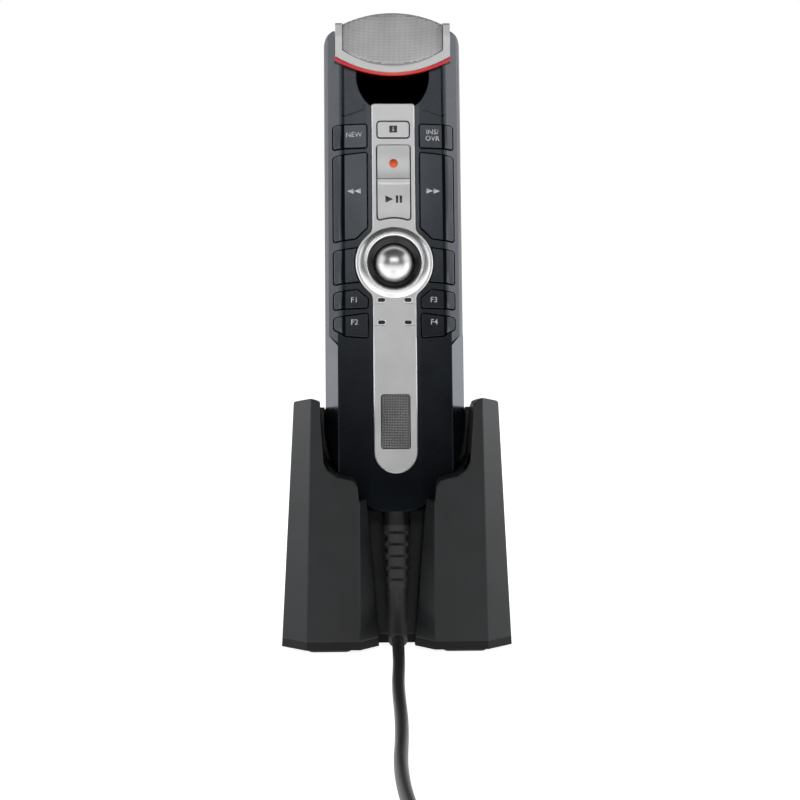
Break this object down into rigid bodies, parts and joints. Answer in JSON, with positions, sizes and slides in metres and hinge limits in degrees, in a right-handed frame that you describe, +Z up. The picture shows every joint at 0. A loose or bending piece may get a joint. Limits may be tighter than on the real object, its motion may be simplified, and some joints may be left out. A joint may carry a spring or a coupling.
{
  "type": "dictation microphone with desk cradle",
  "caption": "Hand-held dictation microphone with side keys, a trackball and a mesh-covered head, leaning back in a weighted desk cradle, with its coiled USB cord.",
  "frame": {"origin": "on the table under the middle of the cradle", "axes": "+Z up, -Y towards the person it faces, +X to the right seen from the front"},
  "size_m": [0.0924, 0.3388, 0.2111],
  "materials": {
    "body_plastic": "satin dark blue-grey",
    "key_plastic": "satin dark blue-grey",
    "strip_metal": "satin silver",
    "head_metal": "satin silver",
    "grille_metal": "fine woven mesh",
    "ball_chrome": "polished",
    "black_plastic": "matte",
    "light_guide_red": "translucent red",
    "cradle_plastic": "fine matte charcoal",
    "black_rubber": "matte",
    "cord_jacket": "smooth",
    "steel": "plated",
    "board": "green solder mask",
    "silicone": "soft",
    "foam": "open foam",
    "lamp": "clear"
  },
  "bodies": {
    "cradle": {"cradle_shell": "cradle_plastic", "base_plate": "black_plastic", "base_screws": "steel", "ballast_weight": "steel", "rubber_feet": "black_rubber", "cord_run": "cord_jacket", "cord_coil": "cord_jacket", "cord_tail": "cord_jacket", "plug_body": "black_plastic", "plug_shell": "steel", "plug_tongue": "lamp"},
    "microphone": {"front_shell": "body_plastic", "rear_shell": "body_plastic", "shell_screws": "steel", "centre_strip": "strip_metal", "trackball_ring": "strip_metal", "trackball_socket": "black_plastic", "trackball_cage": "black_plastic", "bearing_balls": "steel", "optical_sensor": "black_plastic", "indicator_windows": "black_plastic", "speaker_grille": "black_plastic", "speaker_driver": "steel", "head_frame": "head_metal", "grille_mesh": "grille_metal", "grille_foam": "foam", "microphone_capsule": "steel", "head_plate": "black_plastic", "light_guide": "light_guide_red", "main_board": "board", "dome_switches": "steel", "key_membrane": "silicone", "board_chips": "black_plastic", "indicator_lamps": "lamp", "cord_collar": "black_rubber", "strain_relief": "black_rubber"},
    "new_key": {"new_key": "key_plastic"},
    "insert_key": {"insert_key": "key_plastic"},
    "rewind_key": {"rewind_key": "key_plastic"},
    "forward_key": {"forward_key": "key_plastic"},
    "left_mouse_key": {"left_mouse_key": "key_plastic"},
    "right_mouse_key": {"right_mouse_key": "key_plastic"},
    "f1_key": {"f1_key": "key_plastic"},
    "f2_key": {"f2_key": "key_plastic"},
    "f3_key": {"f3_key": "key_plastic"},
    "f4_key": {"f4_key": "key_plastic"},
    "info_key": {"info_key": "strip_metal"},
    "record_play_rocker": {"record_play_rocker": "strip_metal"},
    "trackball": {"trackball": "ball_chrome"},
    "trigger": {"trigger": "key_plastic"}
  },
  "joints": [
    {"name": "mic_lift", "type": "slide", "parent": "cradle", "child": "microphone", "axis": [0, 0.2588, 0.9659], "range_m": [0, 0.12]},
    {"name": "new_key_press", "type": "slide", "parent": "microphone", "child": "new_key", "axis": [0, 0.9659, -0.2588], "range_m": [0, 0.0005], "stiffness_N_per_m": 800},
    {"name": "insert_key_press", "type": "slide", "parent": "microphone", "child": "insert_key", "axis": [0, 0.9659, -0.2588], "range_m": [0, 0.0005], "stiffness_N_per_m": 800},
    {"name": "rewind_key_press", "type": "slide", "parent": "microphone", "child": "rewind_key", "axis": [0, 0.9659, -0.2588], "range_m": [0, 0.0005], "stiffness_N_per_m": 800},
    {"name": "forward_key_press", "type": "slide", "parent": "microphone", "child": "forward_key", "axis": [0, 0.9659, -0.2588], "range_m": [0, 0.0005], "stiffness_N_per_m": 800},
    {"name": "left_mouse_key_press", "type": "slide", "parent": "microphone", "child": "left_mouse_key", "axis": [0, 0.9659, -0.2588], "range_m": [0, 0.0005], "stiffness_N_per_m": 800},
    {"name": "right_mouse_key_press", "type": "slide", "parent": "microphone", "child": "right_mouse_key", "axis": [0, 0.9659, -0.2588], "range_m": [0, 0.0005], "stiffness_N_per_m": 800},
    {"name": "f1_key_press", "type": "slide", "parent": "microphone", "child": "f1_key", "axis": [0, 0.9659, -0.2588], "range_m": [0, 0.0005], "stiffness_N_per_m": 800},
    {"name": "f2_key_press", "type": "slide", "parent": "microphone", "child": "f2_key", "axis": [0, 0.9659, -0.2588], "range_m": [0, 0.0005], "stiffness_N_per_m": 800},
    {"name": "f3_key_press", "type": "slide", "parent": "microphone", "child": "f3_key", "axis": [0, 0.9659, -0.2588], "range_m": [0, 0.0005], "stiffness_N_per_m": 800},
    {"name": "f4_key_press", "type": "slide", "parent": "microphone", "child": "f4_key", "axis": [0, 0.9659, -0.2588], "range_m": [0, 0.0005], "stiffness_N_per_m": 800},
    {"name": "info_key_press", "type": "slide", "parent": "microphone", "child": "info_key", "axis": [0, 0.9659, -0.2588], "range_m": [0, 0.0005], "stiffness_N_per_m": 800},
    {"name": "record_play_rock", "type": "hinge", "parent": "microphone", "child": "record_play_rocker", "pos_m": [0, 0.00523, 0.15319], "axis": [1, 0, 0], "range_deg": [-2.3, 2.3], "stiffness_Nm_per_rad": 0.3},
    {"name": "trackball_roll", "type": "hinge", "parent": "microphone", "child": "trackball", "pos_m": [0, 0.00042, 0.12559], "axis": [1, 0, 0], "continuous": true},
    {"name": "trigger_pull", "type": "hinge", "parent": "microphone", "child": "trigger", "pos_m": [0, 0.02325, 0.15861], "axis": [1, 0, 0], "range_deg": [-3, 0], "stiffness_Nm_per_rad": 0.6}
  ]
}
